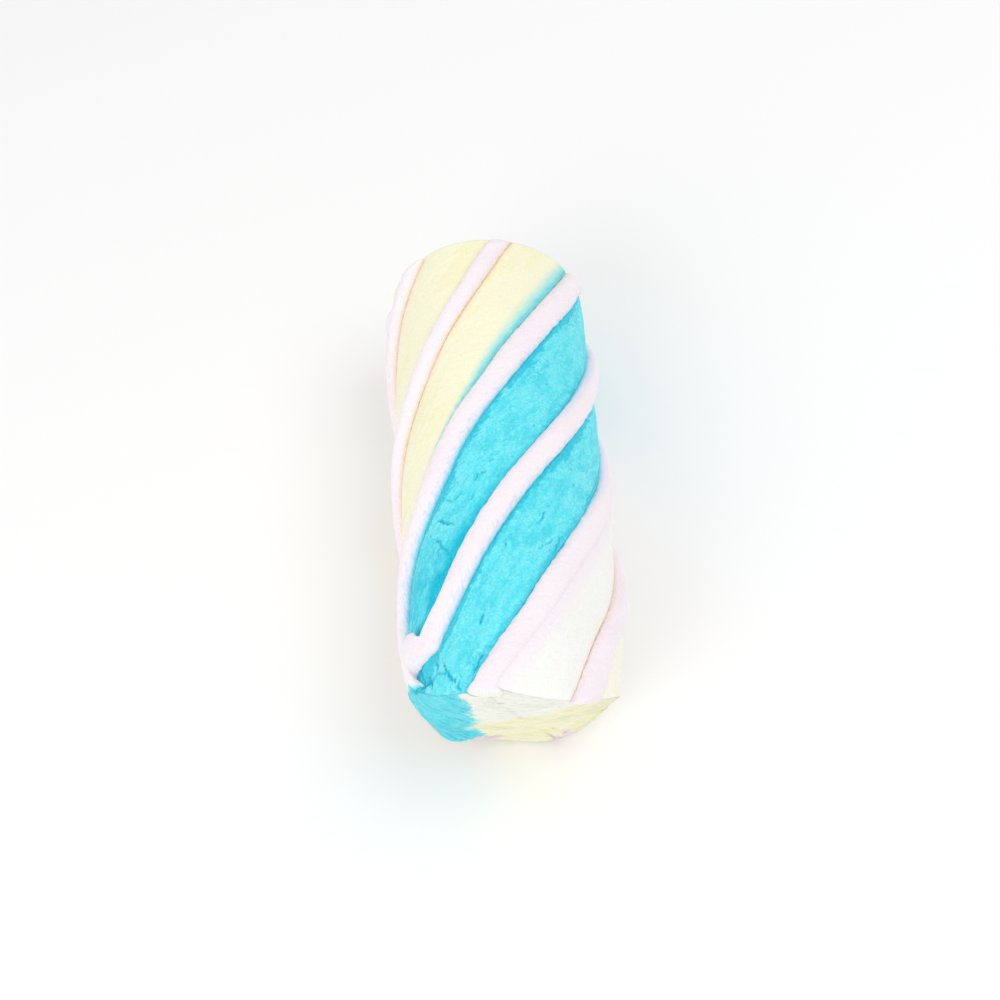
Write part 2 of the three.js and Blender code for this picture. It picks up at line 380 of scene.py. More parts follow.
CORE_RINGS = 26

# %% [markdown]
# ## Addresses
#
# Once a straight piece is a mesh, its points are read into arrays as addresses: radius, angle
# and distance along. The foam's relief and its colours are worked out from the addresses, for
# all the points at once, and sweet_place() then moves the points to their final places.

# %% Addresses
class Addresses:
    """The points of a straight piece: radius, angle, distance along, and how far inward."""

    def __init__(self, mesh, middle_angle):
        count = len(mesh.vertices)
        points = np.empty(count * 3)
        mesh.vertices.foreach_get("co", points)
        self.points = points.reshape(count, 3)
        x, self.along, z = self.points.T
        self.radius = np.hypot(x, z)
        turned = np.degrees(np.arctan2(x, z))
        self.angle = middle_angle + (turned - middle_angle + 180.0) % 360.0 - 180.0
        self.inward = np.empty(count)
        mesh.attributes["inward"].data.foreach_get("value", self.inward)


def finished_mesh(name, bm):
    for face in bm.faces:
        face.smooth = True
    mesh = bpy.data.meshes.new(name)
    bm.to_mesh(mesh)
    bm.free()
    return mesh


# %% [markdown]
# ## Noise with a grain
#
# Almost all detail of foam is noise of some size: broad lumps, dimples, and wrinkles drawn out
# in one direction. This helper samples Blender's own noise at many points. It takes a size
# across the strand and one along it, so the same call makes round dimples or long streaks.

# %% Noise with a grain
def foam_noise(points, across, along, seed, octaves=2):
    scaled = points / np.array([across, along, across]) + seed * 17.3
    return np.array([noise.fractal(Vector(point), 1.0, 2.0, octaves) for point in scaled])


def lines_in(field, width):
    """Thin lines where a noise field changes its sign: 1 on the line, 0 beyond its width."""
    return 1 - smoothstep(0.0, width, np.abs(field))


samples = np.random.default_rng(1).uniform(-20, 20, (2000, 3))
spread = foam_noise(samples, 3.0, 3.0, 1)
print("noise runs from", spread.min().round(2), "to", spread.max().round(2))

# %% [markdown]
# ## Cracks and tears
#
# The cyan foam has torn a little as it was twisted: it has short cracks, shallow dimples and
# a few pores, most of them in the near half. White and yellow foam are smoother. The cracks
# that show best are listed, as short strokes from one address to another, and the
# fine ones come from noise. Every point's distance to a stroke gives the stroke's depth there.

# %% Cracks and tears
CRACKS = [
    # angle and distance along of both ends, width and depth in millimetres
    ((-99.5, 19.8), (-83.5, 18.5), 0.34, 0.22),
    ((-88.5, 16.5), (-73.5, 14.5), 0.50, 0.15),
    ((-92.5, 17.0), (-84.0, 16.0), 0.34, 0.17),
    ((-39.5, 20.0), (-39.5, 21.8), 0.34, 0.22),
    ((-34.5, 7.5), (-36.5, 8.5), 0.28, 0.20),
    ((-48.0, 16.5), (-50.0, 17.0), 0.28, 0.18),
    ((-44.0, 3.0), (-28.5, 1.2), 0.28, 0.22),
    ((-47.5, 2.0), (-38.0, 2.2), 0.26, 0.18),
    ((-26.5, 1.2), (-23.0, 0.2), 0.26, 0.18),
    ((-22.0, 4.0), (-20.5, 1.5), 0.32, 0.26),
    ((-24.0, 3.8), (-22.0, 1.5), 0.18, 0.15),
    ((-94.5, 22.0), (-92.5, 22.8), 0.28, 0.17),
    ((-86.5, 25.5), (-84.5, 25.5), 0.24, 0.17),
    ((-86.5, 26.8), (-85.0, 27.2), 0.22, 0.14),
    ((-88.5, 24.5), (-88.5, 25.2), 0.26, 0.17),
    ((-82.5, 21.8), (-83.5, 22.6), 0.24, 0.15),
    ((-96.0, 21.8), (-100.5, 22.5), 0.24, 0.15),
    ((-84.0, 10.8), (-74.5, 13.0), 0.45, 0.14),
    ((-21.5, 19.0), (-20.0, 17.0), 0.26, 0.18),
    ((-29.0, 17.2), (-24.5, 18.8), 0.24, 0.14),
    ((-21.0, 34.0), (-21.0, 24.5), 0.24, 0.14),
    ((-60.0, 0.4), (-48.0, 1.5), 0.45, 0.40),
    ((-55.0, 1.8), (-47.0, 0.7), 0.30, 0.30),
    ((-66.0, 2.2), (-58.0, 1.2), 0.30, 0.20),
    ((-51.0, 3.0), (-47.0, 2.0), 0.24, 0.20),
]
PORES = [
    # angle, distance along, radius
    (-112.0, 34.8, 0.16), (-47.8, 38.0, 0.16), (-44.0, 29.0, 0.12), (-90.0, 40.0, 0.14),
    (-78.0, 33.0, 0.12), (-99.0, 44.0, 0.12), (-36.0, 27.0, 0.13), (-66.0, 46.0, 0.12),
]


def strokes(angle, along, wobble_across, wobble_along):
    """How deep the listed cracks and pores are at each point."""
    depth = np.zeros(len(along))
    for (angle_a, along_a), (angle_b, along_b), width, deep in CRACKS:
        x = (angle - angle_a) * ARC + wobble_across
        y = along - along_a + wobble_along
        end_x, end_y = (angle_b - angle_a) * ARC, along_b - along_a
        share = np.clip((x * end_x + y * end_y) / (end_x ** 2 + end_y ** 2), 0.0, 1.0)
        away = np.hypot(x - share * end_x, y - share * end_y)
        taper = 0.45 + 0.55 * np.sin(math.pi * np.clip(share, 0.05, 0.95))
        depth = np.maximum(depth, deep * (1 - smoothstep(0.0, width * taper, away)))
    for pore_angle, pore_along, radius in PORES:
        away = np.hypot((angle - pore_angle) * ARC, along - pore_along)
        depth = np.maximum(depth, 0.2 * (1 - smoothstep(0.5 * radius, 1.3 * radius, away)))
    return depth


class Foam:
    """The noise fields that the core's relief and its colours share."""

    def __init__(self, place):
        self.lumps = foam_noise(place.points, 6.0, 11.0, 1, octaves=1)
        self.dimples = foam_noise(place.points, 1.5, 2.6, 2)
        self.crumbs = foam_noise(place.points, 0.55, 0.6, 3, octaves=1)
        self.ragged = foam_noise(place.points, 0.7, 1.1, 4)
        self.wobble = foam_noise(place.points, 1.1, 1.1, 5)
        self.torn = foam_noise(place.points, 1.7, 2.2, 6, octaves=3)
        self.patches = foam_noise(place.points, 4.5, 7.0, 7, octaves=1)
        near_half = 1 - smoothstep(14.0, 30.0, place.along)
        where = smoothstep(0.05, 0.35, self.patches + 0.24 * near_half - 0.14)
        self.tears = lines_in(self.torn, 0.05) * where
        above, below = smoothstep(0.0, 0.05, self.torn), smoothstep(-0.35, -0.05, -self.torn)
        self.flakes = above * below * where
        self.strokes = strokes(place.angle, place.along, 0.35 * self.wobble, 0.25 * self.ragged)


print(len(CRACKS), "cracks and", len(PORES), "pores are placed by hand")

# %% [markdown]
# ## The dyes and the painted shade
#
# The strands are dyed through, but where they were pressed together one colour has crept into
# the next, and the blade has dragged the colours over the cut. So the colour is worked out from
# the address and kept as a colour attribute, which the material reads. Some of it is painted
# light: painted shade on the cut faces, in creases and beside the ropes, and painted reflections
# of the neighbouring foam on the ropes' flanks. Dyes are written as they look on a screen, and
# turned into the linear colours that Blender calculates with.

# %% The dyes
def dye_and_painted_light(red, green, blue):
    screen = np.array([red, green, blue]) / 255
    return np.where(screen <= 0.04045, screen / 12.92, ((screen + 0.055) / 1.055) ** 2.4)


CYAN = dye_and_painted_light(92, 228, 241)
CYAN_PALE = dye_and_painted_light(150, 240, 249)
CYAN_DEEP = dye_and_painted_light(10, 196, 222)
TEAL = dye_and_painted_light(0, 150, 186)
YELLOW = dye_and_painted_light(252, 249, 221)
YELLOW_DEEP = dye_and_painted_light(246, 240, 184)
WHITE = dye_and_painted_light(249, 250, 244)
GREY = dye_and_painted_light(243, 244, 231)
PINK = dye_and_painted_light(250, 240, 246)
PINK_SHADED = dye_and_painted_light(244, 222, 230)
PEACH = dye_and_painted_light(243, 196, 140)
PEACH_PALE = dye_and_painted_light(250, 222, 196)
SALMON = dye_and_painted_light(240, 186, 166)
SKY = dye_and_painted_light(214, 226, 247)


def mixed(colour, other, share):
    share = np.asarray(share)[:, None]
    return colour * (1 - share) + other * share


# the middle and half width in degrees, and how far in, in millimetres from the axis
SMEARED_ENDS = [(-155.0, 13.0, 9.0), (151.0, 11.0, 9.3)]


def sagging(across, up):
    """The height of the sagging line through a point of the cut: the blade's drag is curved."""
    return up - 0.035 * across ** 2


def dragged_lines(across, up):
    """Noise drawn out along the sagging lines, for the wrinkles of a cut face."""
    lines = np.stack([across / 4.5, 0 * across, sagging(across, up) / 0.55], axis=1)
    return foam_noise(lines, 1.0, 1.0, 13)


def near_shares(across, up):
    """How cyan and how yellow the near cut face is: the blade has smeared the borders."""
    flat = np.stack([across, 0 * across, up], axis=1)
    ragged = foam_noise(flat, 1.6, 1.0, 21) + 0.7 * foam_noise(flat, 0.4, 1.0, 22)
    border = -5.9 - 0.6 * smoothstep(3.0, 11.0, up) + 1.4 * smoothstep(0.0, -12.0, up)
    cyan = 1 - smoothstep(-0.6, 0.6, across - border + 0.8 * ragged)
    yellow = smoothstep(-1.3, 1.3, 1.2 + 0.55 * across - up + 0.9 * ragged)
    return cyan, yellow * (1 - cyan)


def near_colours(across, up):
    """The colours of the near cut face: its grey and its deeper yellow are painted shade."""
    cyan, yellow = near_shares(across, up)
    return mixed(mixed(np.tile(GREY, (len(up), 1)), YELLOW_DEEP, 0.8 * yellow), CYAN, cyan)


def smeared_ends(across, up):
    """How pink the near face is, where the ends of two ropes were smeared over its rim."""
    radius, angle = np.hypot(across, up), np.degrees(np.arctan2(across, up))
    pink = np.zeros(len(across))
    for middle, half, inner in SMEARED_ENDS:
        beside = np.abs((angle - middle + 180.0) % 360.0 - 180.0) / half
        within = 1 - smoothstep(0.6, 1.0, beside + 0.2 * np.sin(3 * radius))
        pink = np.maximum(pink, within * smoothstep(inner - 0.5, inner + 0.5, radius))
    return pink


def far_shares(radius, angle):
    """The same on the far face, where the three slices keep their own borders."""
    def inside(first, last):
        away = [np.sin(np.radians(angle - first)), np.sin(np.radians(last - angle))]
        return smoothstep(-0.4, 0.4, radius * np.minimum(*away))
    cyan = inside(ANGLES[0], ANGLES[2])
    return cyan, (1 - inside(ANGLES[2], ANGLES[4])) * (1 - cyan)


print("cyan as a linear colour:", CYAN.round(3))

# %% [markdown]
# ## The colours of the cyan foam
#
# The cyan foam is the liveliest of the three. It is paler on its crumbs and flakes, and deeper
# in its dimples and cracks. On the right of each rope runs a deeper and ragged band, partly a
# stain and partly painted shade where the foam dips under the rope. On the left of each rope the
# cyan deepens into painted shade in the crease, with a hair line of teal, also painted shade,
# right at the rope's edge. Part of the first stripe near the near end is painted darker as shade.

# %% The colours of the cyan foam
def shade_and_stain_beside_ropes(place, foam, around, side):
    # on the right of a rope: a ragged band, partly a stain and partly painted shade where the foam
    # dips under the rope
    band = 0.65 + 0.85 * smoothstep(-0.3, 0.6, foam.patches + 0.5 * foam.dimples)
    ragged = around.after + 0.55 * foam.ragged + 0.30 * foam.crumbs
    under = (1 - smoothstep(band - 0.1, band + 0.12, ragged)) * side
    # on the left of a rope: painted shade in the crease, reaching further on the first stripe
    first_stripe = (around.rope == 0) * smoothstep(30.0, 16.0, place.along)
    reach = 1.5 + 2.3 * first_stripe * (0.75 + 0.5 * foam.dimples)
    beside = (1 - smoothstep(0.1 * reach, reach, around.before + 0.5 * foam.ragged)) * side
    # painted shade over part of the first stripe, a few millimetres from the near end
    low = smoothstep(1.0, 7.0, place.along) * smoothstep(20.0, 11.0, place.along)
    low = low * smoothstep(-0.9, 0.4, foam.dimples + 0.8 * foam.ragged)
    low = low * (around.rope == 0) * side
    return np.clip(0.75 * under + (0.55 + 0.35 * first_stripe) * beside + 0.8 * low, 0, 1)


def cyan_colours(place, foam, around, on_face, crease_shade):
    side = 1 - on_face
    before = around.before + 0.12 * foam.ragged
    pale = 0.40 * smoothstep(0.1, 0.9, 0.5 + foam.crumbs + 0.5 * foam.dimples)
    colours = mixed(CYAN, CYAN_PALE, pale)
    colours = mixed(colours, CYAN_DEEP, 0.22 * smoothstep(0.0, 0.5, -foam.dimples))
    colours = mixed(colours, CYAN_PALE, 0.75 * foam.flakes * side)
    colours = mixed(colours, CYAN_DEEP, shade_and_stain_beside_ropes(place, foam, around, side))
    # painted shade: the cyan is deeper on the cut faces, and deeper still in their wrinkles
    colours = mixed(colours, CYAN_DEEP, 0.1 * on_face + 0.55 * crease_shade)
    torn = np.clip(foam.strokes * 6 + 0.75 * foam.tears * side, 0, 1)
    colours = mixed(colours, CYAN_DEEP, torn)
    colours = mixed(colours, TEAL, 0.5 * smoothstep(0.12, 0.35, foam.strokes))
    # a hair line of teal at the left edge of each rope: painted shade in the crease
    return mixed(colours, TEAL, 0.45 * (1 - smoothstep(0.02, 0.22, before)) * side)


# %% [markdown]
# ## The colours of the yellow and the white foam
#
# The yellow foam has broad blotches, and a hair line of peach on the right of each rope, with a
# soft band of peach beside it that is painted shade. On the left of each rope the yellow is
# painted deeper as shade. The white foam turns pink where it has flowed over the widest rope, and
# ends in a fine salmon line. On the cut faces the white is painted greyer and the yellow deeper,
# as shade, and more so in the wrinkles.

# %% The colours of the yellow and the white foam
def yellow_colours(place, foam, around, on_face, crease_shade, blotches):
    side = 1 - on_face
    after, before = around.after + 0.25 * foam.ragged, around.before + 0.12 * foam.ragged
    # the blotches are the foam's own; the cut faces and their wrinkles get painted shade
    deeper = 0.10 + 0.30 * blotches + 0.06 * on_face + 0.50 * crease_shade
    colours = mixed(YELLOW, YELLOW_DEEP, deeper)
    # painted shade beside the left edge of each rope
    colours = mixed(colours, YELLOW_DEEP, 0.5 * (1 - smoothstep(0.0, 1.6, before)) * side)
    thickness = np.maximum(0.32 + 0.35 * foam.wobble, 0.12)
    hair_line = 1 - smoothstep(0.02, thickness, around.after + 0.08 * foam.ragged)
    hair_line = hair_line * (0.3 + 0.7 * smoothstep(0.0, 4.0, place.along))
    # a soft band of painted shade in peach beside the hair line
    peach_shade = 0.22 * (1 - smoothstep(0.0, 1.5, after))
    return mixed(colours, PEACH, np.clip(0.75 * hair_line + peach_shade, 0, 1) * side)


def white_colours(foam, around, on_face, crease_shade, blotches):
    # the blotches are the foam's own; the grey on the cut faces and in their wrinkles is painted
    # shade
    greyer = 0.25 * blotches + 0.6 * on_face + 0.4 * crease_shade
    colours = mixed(WHITE, GREY, np.clip(greyer, 0, 1))
    fused = (around.rope == FUSED_ROPE) * (1 - on_face)
    pink_left = 1 - smoothstep(-0.4, 2.2, around.after + 0.25 * foam.ragged + 0.4 * foam.patches)
    colours = mixed(colours, PINK, fused * pink_left)
    right_edge = 1 - smoothstep(0.03, 0.18, around.before)
    return mixed(colours, SALMON, 0.35 * fused * right_edge)


# %% [markdown]
# ## Which foam is where
#
# On the sides each strand keeps its own dye, apart from a fringe of cyan that has crept under
# the first rope into the yellow. On the two cut faces the shares come from the borders that the
# blade has smeared. The three foams are mixed by these shares, and the smeared rope ends are
# laid over them.

# %% Which foam is where
def core_colours(place, foam, around, on_face):
    side = 1 - on_face
    fringe_width = 0.2 + 3.0 * smoothstep(14.0, 60.0, place.along)
    into_fringe = (around.before + 0.12 * foam.ragged + 0.2 * foam.wobble) / fringe_width
    fringe = (around.rope == 6) * (1 - smoothstep(0.15, 1.0, into_fringe))
    cyan = np.where(around.rope <= 1, 1.0, 0.85 * fringe)
    yellow = np.select([around.rope >= 4, around.rope == 3], [1.0, 0.5], 0.0) * (1 - cyan)

    turned = place.angle + around.carried
    across = place.radius * np.sin(np.radians(turned))
    up = place.radius * np.cos(np.radians(turned))
    near_cyan, near_yellow = near_shares(across, up)
    far_cyan, far_yellow = far_shares(place.radius, place.angle)
    on_near = on_face * (place.along < LENGTH / 2)
    on_far = on_face * (place.along > LENGTH / 2)
    cyan = cyan * side + near_cyan * on_near + far_cyan * on_far
    yellow = yellow * side + near_yellow * on_near + far_yellow * on_far
    white = 1 - cyan - yellow

    # painted shade in the grooves of the wrinkles that the blade dragged over the cut faces
    crease_shade = smoothstep(-0.1, 0.5, -dragged_lines(across, up)) * on_face
    blotches = smoothstep(-0.1, 0.6, foam.patches + 0.6 * foam.dimples)
    colours = (white_colours(foam, around, on_face, crease_shade, blotches) * white[:, None]
               + cyan_colours(place, foam, around, on_face, crease_shade) * cyan[:, None]
               + yellow_colours(place, foam, around, on_face, crease_shade, blotches) * yellow[:, None])
    return mixed(colours, PINK_SHADED, smeared_ends(across, up) * on_near), cyan


# %% [markdown]
# ## The relief of the core
#
# Relief and colour read the same noise, so a crack is both deeper and darker. The sides get
# broad lumps everywhere, and crumbs, flakes and tears where the foam is cyan. The cut faces get
# the wrinkles that the blade dragged over them.

# %% The relief of the core
def core_relief(foam, around, cyan):
    """How far the foam stands out on the side, in millimetres."""
    smooth = 0.12 * foam.lumps + 0.035 * foam.dimples + 0.012 * foam.crumbs
    rough = 0.05 * foam.dimples + 0.035 * foam.crumbs - 0.06 * foam.tears + 0.05 * foam.flakes
    near_rope = 1 - smoothstep(0.0, 1.2, np.minimum(around.after, around.before))
    dragged = 0.07 * foam.ragged * near_rope
    calm = (around.rope == FUSED_ROPE) * (1 - smoothstep(0.0, 3.0, around.after))
    return smooth * (1 - calm) + cyan * (rough + dragged) - foam.strokes


def face_relief(across, up):
    """Wrinkles that the blade dragged across a cut face, and broad dents, in millimetres."""
    dents = foam_noise(np.stack([across, 0 * up, up], axis=1), 5.0, 5.0, 12, octaves=1)
    return 0.20 * dragged_lines(across, up) + 0.20 * dents


# %% [markdown]
# ## Putting a piece in its place
#
# This helper takes a straight mesh and its new addresses, moves the points to their places in
# the sweet, and stores the colours and the UV map. The UV map runs along the strand in one
# direction and round it in the other, so that wrinkles can follow the twist. On a cut face it
# follows the sagging lines that the blade drew instead, and an attribute called cut is 1 there.
# The piece then rides on the imported body, is named for its node, and hides that node's imported
# part.

# %% Putting a piece in its place
def put_in_place(mesh, node, addresses, colours, around_share, on_face):
    placed = sweet_place(*addresses)
    mesh.vertices.foreach_set("co", placed.ravel())
    colour_layer = mesh.color_attributes.new("dye_and_painted_light", "FLOAT_COLOR", "POINT")
    opaque = np.ones((len(colours), 4))
    opaque[:, :3] = np.clip(colours, 0.0, 1.0)
    colour_layer.data.foreach_set("color", opaque.ravel())
    cut = mesh.attributes.new("cut", "FLOAT", "POINT")
    cut.data.foreach_set("value", on_face)

    corners = np.empty(len(mesh.loops), dtype=int)
    mesh.loops.foreach_get("vertex_index", corners)
    starts = np.empty(len(mesh.polygons), dtype=int)
    mesh.polygons.foreach_get("loop_start", starts)
    any_cut = np.maximum.reduceat(on_face[corners], starts) > 0
    of_cut = np.repeat(any_cut, np.diff(np.append(starts, len(corners))))
    across, up = placed[:, 0] * 1000, placed[:, 2] * 1000 - CREST_RADIUS
    cut_uv = np.stack([across / 640, sagging(across, up) / 46], axis=1)
    side_uv = np.stack([addresses[2] / LENGTH, around_share], axis=1)
    uv = np.where(of_cut[:, None], cut_uv[corners], side_uv[corners])
    mesh.uv_layers.new(name="along and around").data.foreach_set("uv", uv.ravel())
    mesh.update()
    piece = bpy.data.objects.new(node + "_foam", mesh)
    bpy.context.scene.collection.objects.link(piece)
    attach(piece, "root")
    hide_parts(node)
    print(piece.name, "has", len(mesh.polygons), "faces")
    return piece


# %% [markdown]
# ## The three strands
#
# With the helpers ready, a strand takes a few lines: cut the slice, sweep it, read its
# addresses, add relief and colour, and put it in its place. The relief fades out towards the
# rims, so that the sides and the cut faces still meet. The blade has smeared foam over the
# near ends of some grooves, and squeezed the second rope's end out of its own, so they are
# filled there. It has also pressed the near end out of round: it bulges at the lower left and
# is narrower at the right.

# %% The three strands
LOBE_ROPE = 1
# the grooves that foam has filled at the near end, how far along and how high, in millimetres
FILLED_GROOVES = [(0, 3.0, 0.9), (LOBE_ROPE, 8.0, 0.25), (5, 2.5, 0.6), (6, 2.5, 0.6)]
# how much the near end bulges at some angles, in millimetres, and how far along it does
BULGES = [(-180, -0.2), (-160, -0.3), (-140, 0.3), (-120, 0.9), (-106, 0.6), (-92, 0.0),
          (-60, 0.0), (55, 0.0), (75, -0.6), (105, -0.7), (125, -0.2), (145, 0.0), (180, -0.2)]
BULGE_LENGTH = 3.0
STRANDS = [
    # the node, its slot, and the ropes that its sides lie under
    ("cyan_strand", "cyan", 0, 2),
    ("white_strand", "white", 2, 4),
    ("yellow_strand", "yellow", 4, 7),
]


def near_end_radius(place, outline):
    """The radius of each point, with filled grooves and bulges at the near end."""
    scale = np.ones(len(outline))
    for rope, reach, height in FILLED_GROOVES:
        beside = np.abs((place.angle - ANGLES[rope] + 180.0) % 360.0 - 180.0) / EDGES[rope]
        filled = (1 - smoothstep(0.6 * reach, reach, place.along)) * (beside < 1.2)
        level = np.maximum((CORE_RADIUS + height * (1 - (beside / 1.2) ** 2)) / outline, 1.0)
        scale = np.maximum(scale, 1 + filled * (level - 1))
    angle = (place.angle + 180.0) % 360.0 - 180.0
    bulge = np.interp(angle, *zip(*BULGES)) * (1 - smoothstep(0.0, BULGE_LENGTH, place.along))
    return place.radius * (scale + bulge / CORE_RADIUS)


def build_strand(node, slot, first_rope, last_rope):
    first_angle, last_angle = ANGLES[first_rope], ANGLES[last_rope]
    middle_angle = (first_angle + last_angle) / 2
    bm = swept(core_slice(first_angle, last_angle), direction(middle_angle) * 7.5, CORE_RINGS)
    mesh = finished_mesh(node, bm)
    place = Addresses(mesh, middle_angle)
    foam = Foam(place)
    around = Around(place.angle, place.along)
    outline = core_outline(place.angle)
    at_surface = place.radius > 0.99 * outline
    on_face = np.where((place.inward > 0) | ~at_surface, 1.0, 0.0)
    colours, cyan = core_colours(place, foam, around, on_face)

    from_ends = np.minimum(place.along, LENGTH - place.along)
    on_side = smoothstep(0.0, 1.2, from_ends) * (at_surface & (place.inward == 0))
    radius = near_end_radius(place, outline) + core_relief(foam, around, cyan) * on_side
    is_far = place.along > LENGTH / 2
    turned = np.radians(place.angle + around.carried + np.where(is_far, TWIST, 0.0))
    pushed = face_relief(place.radius * np.sin(turned), place.radius * np.cos(turned))
    pushed = pushed * smoothstep(0.0, 1.2, outline - place.radius) * on_face
    at_end = (from_ends < 0.01)
    along = place.along + pushed * np.where(is_far, 1.0, -1.0) * at_end
    addresses = (radius, place.angle, along)
    return put_in_place(mesh, node, addresses, colours, place.angle / 360 + 0.5, on_face)


strands = [build_strand(*strand) for strand in STRANDS]

# %% [markdown]
# ## The ropes
#
# A rope starts as a circle, scaled to an oval, moved out to the core's surface and turned to
# its angle, and is swept like the strands. Its shape is squarer than an oval, since foam
# presses flat against its neighbours. Its relief is different, too: soft swellings, a few
# folds where it was pulled tight, and uneven edges. The ends are drawn in a little and domed,
# because the blade squeezed them. The second one was squeezed aside into a broad lobe: its
# last eight millimetres are shifted, widened and raised by the numbers in three lists, and
# its crest is pushed forward over the rim.

# %% The ropes
ROPE_AROUND = 48
ROPE_RINGS = 6
SQUARENESS = 0.90
# how far each rope stops short of the core, at the near end and at the far one
NEAR_SETBACKS = [1.6, 0.8, 0.0, -0.1, 0.3, 1.0, 1.0]
FAR_SETBACK = 0.2
END_DOME = 0.35
# the lobe, at every millimetre from the near end: degrees aside, how much wider, how much raised
LOBE_LENGTH = 8.0
LOBE_ASIDE = [-9.0, -19.0, -17.0, -8.5, -2.5, -1.0, -0.5, 0.0, 0.0]
LOBE_WIDER = [2.4, 2.0, 2.35, 1.95, 1.4, 1.2, 1.05, 1.0, 1.0]
LOBE_RAISED = [-0.3, -0.1, 0.1, 0.0, -0.2, -0.1, 0.0, 0.0, 0.0]
LOBE_FORWARD = 0.9

# the painted reflection of the neighbouring foam on the buried flanks of a rope, on its left and on
# its right
NEIGHBOUR_REFLECTIONS = [(YELLOW_DEEP, CYAN), (CYAN, CYAN), (CYAN, PINK), (PEACH_PALE, PINK),
                  (PINK, PEACH_PALE), (PEACH_PALE, PEACH_PALE), (YELLOW_DEEP, PEACH_PALE)]


def rope_section(number):
    bm = bmesh.new()
    bmesh.ops.create_circle(bm, cap_ends=False, radius=1.0, segments=ROPE_AROUND)
    upright = Matrix.Rotation(math.pi / 2, 3, "X")
    bmesh.ops.rotate(bm, verts=bm.verts, cent=(0, 0, 0), matrix=upright)
    bmesh.ops.scale(bm, vec=(WIDTHS[number] / 2, 1, ROPE_THICKNESS / 2), verts=bm.verts)
    bmesh.ops.translate(bm, vec=(0, 0, MIDDLES[number]), verts=bm.verts)
    return bm


def squared(share):
    """Push a cosine or sine out, so that a circle becomes a rounded square."""
    return np.sign(share) * np.abs(share) ** SQUARENESS


def build_rope(number):
    node = "pink_rope_%d" % (number + 1)
    middle, half_width = MIDDLES[number], WIDTHS[number] / 2
    mesh = finished_mesh(node, swept(rope_section(number), Vector((0, 0, middle)), ROPE_RINGS))
    place = Addresses(mesh, 0.0)
    flank = place.points[:, 0] / half_width
    outwards = (place.points[:, 2] - middle) / (ROPE_THICKNESS / 2)
    reach = np.maximum(np.hypot(flank, outwards), 1e-6)
    own_points = place.points + np.array([0.0, 0.0, 40.0 * number])
    swelling = foam_noise(own_points, 3.0, 5.0, 31, octaves=1)
    folds = foam_noise(own_points, 2.4, 0.7, 32)
    edge = foam_noise(own_points, 0.9, 0.9, 33)
    calm = smoothstep(0.0, 0.4, flank) if number == FUSED_ROPE else 0.0
    nicks = foam_noise(own_points, 0.5, 0.8, 35)
    grown = reach * (1 + (0.06 * swelling + 0.02 * folds) * (1 - calm))
    uneven = 1 + (0.06 * edge + 0.03 * nicks) * (1 - calm)
    x = half_width * grown * squared(flank / reach) * uneven
    z = middle + ROPE_THICKNESS / 2 * grown * squared(outwards / reach)
    offset, radius = np.degrees(np.arctan2(x, z)), np.hypot(x, z)
    if number == LOBE_ROPE:
        share = place.along / LOBE_LENGTH
        offset = offset * through(LOBE_WIDER, share) + through(LOBE_ASIDE, share)
        radius = radius + through(LOBE_RAISED, share) * smoothstep(-0.6, 0.4, outwards)
    angle = ANGLES[number] + offset

    at_near = place.along < LENGTH / 2
    dome = END_DOME * (1 - (1 - place.inward) ** 2) * np.where(at_near, -1.0, 1.0)
    near, far = NEAR_SETBACKS[number], LENGTH - FAR_SETBACK
    along = near + place.along * (far - near) / LENGTH + dome

    pink = np.tile(PINK, (len(x), 1))
    colours = mixed(pink, PINK_SHADED, 0.15 * smoothstep(-0.2, 0.5, swelling))
    # painted shade on the left flank of each rope
    colours = mixed(colours, PINK_SHADED, 0.35 * (1 - smoothstep(-1.0, -0.5, flank + 0.12 * edge)))
    on_face = np.where(place.inward > 0, 1.0, 0.0)
    fuzz = foam_noise(own_points, 0.35, 0.35, 34, octaves=1)
    # the right flanks of ropes 1 and 2 beside the cyan foam: a speckled bluish tint, partly a stain
    # and partly painted shade and reflection of the cyan foam
    if number in (0, 1):
        speckled_stain_and_reflection = smoothstep(0.75, 1.15, flank + 0.2 * edge + 0.8 * fuzz) * (1 - on_face)
        colours = mixed(colours, SKY, (0.2 + 0.5 * smoothstep(4.0, 9.0, place.along)) * speckled_stain_and_reflection)
    if number in (1, 2):
        in_shade = (1 - smoothstep(-1.0, -0.3, flank)) * smoothstep(22.0, 32.0, place.along)
        colours = mixed(colours, SKY, 0.35 * in_shade)
    # painted reflection: the buried flanks take the colour of light bounced from the neighbouring
    # foam in the groove
    buried = smoothstep(0.20, 0.02, outwards) * (1 - on_face)
    if number == LOBE_ROPE:
        buried = buried * smoothstep(3.0, LOBE_LENGTH, place.along)
    left_reflection, right_reflection = NEIGHBOUR_REFLECTIONS[number]
    colours = mixed(colours, left_reflection, 0.6 * buried * (flank < 0))
    colours = mixed(colours, right_reflection, 0.6 * buried * (flank > 0))
    around_share = np.degrees(np.arctan2(flank, outwards)) / 360 + 0.5
    turned = np.radians(angle + Around(angle, along).carried)
    smeared = on_face * at_near * smoothstep(14.3, 13.6, radius)
    cut_colours = near_colours(radius * np.sin(turned), radius * np.cos(turned))
    colours = mixed(colours, cut_colours, smeared)
    if number == LOBE_ROPE:
        overhang = smoothstep(13.0, 15.0, radius) * (1 - smoothstep(4.0, 9.0, place.along))
        along = along - LOBE_FORWARD * overhang
    addresses = (radius, angle, along)
    return put_in_place(mesh, node, addresses, colours, around_share, 0.15 * on_face)


ropes = [build_rope(number) for number in range(len(ROPES))]

